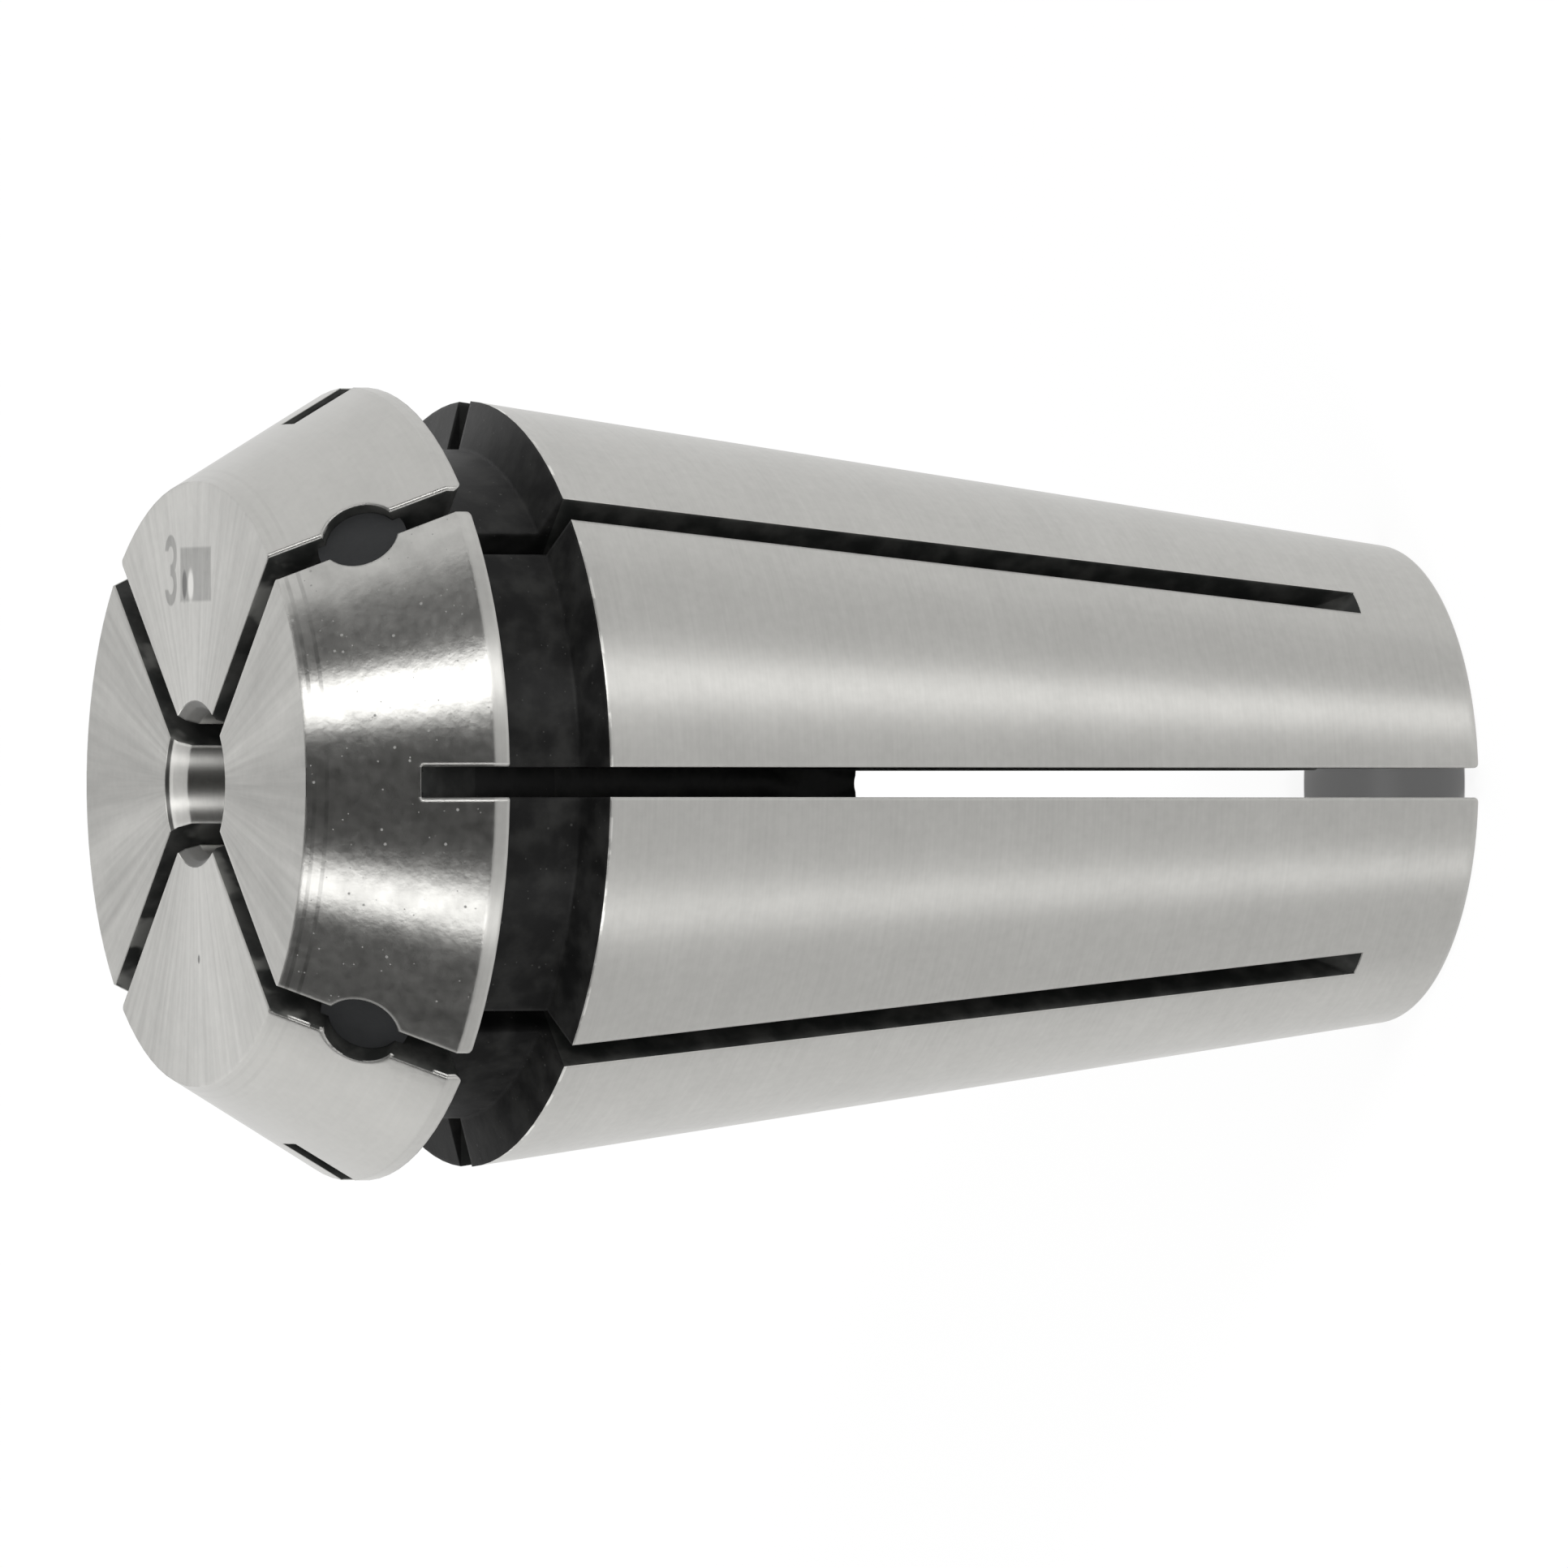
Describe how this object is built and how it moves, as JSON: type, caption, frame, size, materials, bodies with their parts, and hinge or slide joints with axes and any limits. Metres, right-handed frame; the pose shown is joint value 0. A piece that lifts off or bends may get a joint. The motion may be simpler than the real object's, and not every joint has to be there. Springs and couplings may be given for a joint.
{
  "type": "er collet",
  "caption": "Slotted spring collet with a steep nut cone, extractor groove, long clamping taper, through bore and rubber plugs sealing its front slots.",
  "frame": {"origin": "centre of the rear end face, on which the collet stands", "axes": "+Z along the bore axis towards the front face, +X through the middle of one front jaw"},
  "size_m": [0.0168, 0.0168, 0.0275],
  "materials": {
    "hardened_steel": "ground, with blackened groove and slots",
    "seal_rubber": "matt"
  },
  "bodies": {
    "root": {"collet_body": "hardened_steel", "seal_plug_1": "seal_rubber", "seal_plug_2": "seal_rubber", "seal_plug_3": "seal_rubber", "seal_plug_4": "seal_rubber"}
  },
  "joints": []
}
